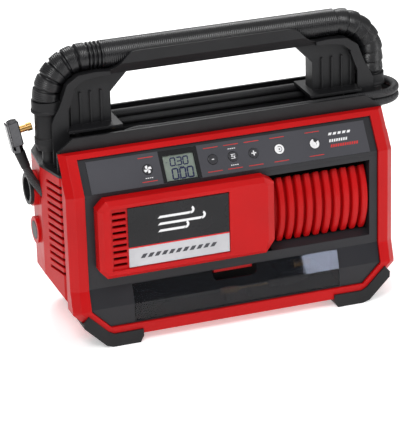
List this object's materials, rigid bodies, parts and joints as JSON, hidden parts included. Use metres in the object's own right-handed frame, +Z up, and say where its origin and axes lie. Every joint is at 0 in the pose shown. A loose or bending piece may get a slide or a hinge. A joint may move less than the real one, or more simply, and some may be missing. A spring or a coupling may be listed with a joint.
{
  "type": "portable air compressor",
  "caption": "Cordless air compressor and inflator: red housing, black front with display and keys, hose over the carry handle.",
  "frame": {"origin": "on the floor under the middle of the compressor", "axes": "+Z up, -Y towards the control panel, +X to the right seen from the front"},
  "size_m": [0.429, 0.167, 0.3041],
  "materials": {
    "red_plastic": "satin moulded plastic with a fine grain",
    "black_plastic": "matt moulded plastic with a fine grain",
    "grey_plastic": "matt moulded plastic",
    "black_rubber": "matt rubber",
    "foil": "printed dark grey foil",
    "clear_plastic": "clear moulded plastic",
    "circuit_board": "green lacquered board",
    "hose_plastic": "corrugated flexible plastic",
    "hose_fabric": "rubber hose with a braided cover",
    "brass": "turned brass",
    "steel": "machined steel",
    "cast_aluminium": "die-cast aluminium"
  },
  "bodies": {
    "housing": {"air_duct": "grey_plastic", "air_hose": "hose_plastic", "ball_needle": "brass", "battery_terminals": "brass", "blow_port": "black_plastic", "blower_housing": "black_plastic", "blower_motor": "steel", "carry_handle": "black_plastic", "chuck_body": "black_plastic", "chuck_nipple": "brass", "compartment_tub": "black_plastic", "compressor_motor": "steel", "cone_nozzle": "black_plastic", "control_foil": "foil", "control_panel": "black_plastic", "cover_latch": "red_plastic", "cylinder": "cast_aluminium", "cylinder_head": "cast_aluminium", "display_lens": "clear_plastic", "display_module": "black_plastic", "duct_plenum": "grey_plastic", "face_plate": "foil", "feet_rear": "black_rubber", "foot_front_left": "black_rubber", "foot_front_right": "black_rubber", "front_frame": "red_plastic", "front_housing": "red_plastic", "front_panel": "black_plastic", "gear_plate": "steel", "hose_cuff_left": "black_rubber", "hose_cuff_right": "black_rubber", "hose_outlet": "brass", "hose_strain_relief": "black_rubber", "main_board": "circuit_board", "nose_cover": "red_plastic", "pressure_hose_coil": "hose_fabric", "pressure_hose_tail": "hose_fabric", "pressure_pipe": "brass", "rear_housing": "red_plastic", "rib_grille": "red_plastic", "screws": "steel", "taper_nozzle": "black_plastic", "top_tray": "black_plastic", "valve_adapter": "brass"},
    "battery": {"battery_pack": "black_plastic"},
    "battery_button": {"battery_button": "red_plastic"},
    "cover": {"compartment_cover": "clear_plastic"},
    "impeller": {"blower_impeller": "grey_plastic"},
    "rotor": {"motor_shaft": "steel", "cooling_fan": "grey_plastic"},
    "crank": {"crank_gear": "steel"},
    "piston": {"wobble_piston": "cast_aluminium"},
    "chuck_lever": {"chuck_lever": "steel"},
    "power_button": {"power_button": "grey_plastic"},
    "fan_button": {"fan_button": "grey_plastic"},
    "minus_button": {"minus_button": "grey_plastic"},
    "unit_button": {"unit_button": "grey_plastic"},
    "plus_button": {"plus_button": "grey_plastic"},
    "tyre_button": {"tyre_button": "grey_plastic"},
    "raft_button": {"raft_button": "grey_plastic"}
  },
  "joints": [
    {"name": "fan_press", "type": "slide", "parent": "housing", "child": "fan_button", "axis": [0, 0.8282, -0.5604], "range_m": [0, 0.0008], "stiffness_N_per_m": 900, "springref_m": -0.0006},
    {"name": "minus_press", "type": "slide", "parent": "housing", "child": "minus_button", "axis": [0, 0.8282, -0.5604], "range_m": [0, 0.0008], "stiffness_N_per_m": 900, "springref_m": -0.0006},
    {"name": "unit_press", "type": "slide", "parent": "housing", "child": "unit_button", "axis": [0, 0.8282, -0.5604], "range_m": [0, 0.0008], "stiffness_N_per_m": 900, "springref_m": -0.0006},
    {"name": "plus_press", "type": "slide", "parent": "housing", "child": "plus_button", "axis": [0, 0.8282, -0.5604], "range_m": [0, 0.0008], "stiffness_N_per_m": 900, "springref_m": -0.0006},
    {"name": "tyre_press", "type": "slide", "parent": "housing", "child": "tyre_button", "axis": [0, 0.8282, -0.5604], "range_m": [0, 0.0008], "stiffness_N_per_m": 900, "springref_m": -0.0006},
    {"name": "raft_press", "type": "slide", "parent": "housing", "child": "raft_button", "axis": [0, 0.8282, -0.5604], "range_m": [0, 0.0008], "stiffness_N_per_m": 900, "springref_m": -0.0006},
    {"name": "power_press", "type": "slide", "parent": "housing", "child": "power_button", "axis": [1, 0, 0], "range_m": [0, 0.002], "stiffness_N_per_m": 700, "springref_m": -0.001},
    {"name": "cover_hinge", "type": "hinge", "parent": "housing", "child": "cover", "pos_m": [0, -0.0723, 0.0255], "axis": [1, 0, 0], "range_deg": [0, 80]},
    {"name": "battery_slide", "type": "slide", "parent": "housing", "child": "battery", "axis": [0, 0, 1], "range_m": [0, 0.075]},
    {"name": "battery_release", "type": "slide", "parent": "battery", "child": "battery_button", "axis": [0, -1, 0], "range_m": [0, 0.002], "stiffness_N_per_m": 900, "springref_m": -0.001},
    {"name": "crank_spin", "type": "hinge", "parent": "housing", "child": "crank", "pos_m": [-0.055, -0.024, 0.118], "axis": [1, 0, 0], "continuous": true},
    {"name": "rotor_spin", "type": "hinge", "parent": "housing", "child": "rotor", "pos_m": [-0.09, -0.024, 0.088], "axis": [1, 0, 0], "continuous": true},
    {"name": "piston_stroke", "type": "slide", "parent": "housing", "child": "piston", "axis": [0, 0, 1], "range_m": [-0.004, 0.004]},
    {"name": "impeller_spin", "type": "hinge", "parent": "housing", "child": "impeller", "pos_m": [0.1, -0.024, 0.115], "axis": [1, 0, 0], "continuous": true},
    {"name": "chuck_lock", "type": "hinge", "parent": "housing", "child": "chuck_lever", "pos_m": [-0.21623, 0.01143, 0.22403], "axis": [0.0054, 0.9996, -0.0283], "range_deg": [0, 60]}
  ],
  "couplings": [
    {"joint": "rotor_spin", "follows": "crank_spin", "ratio": -4}
  ]
}
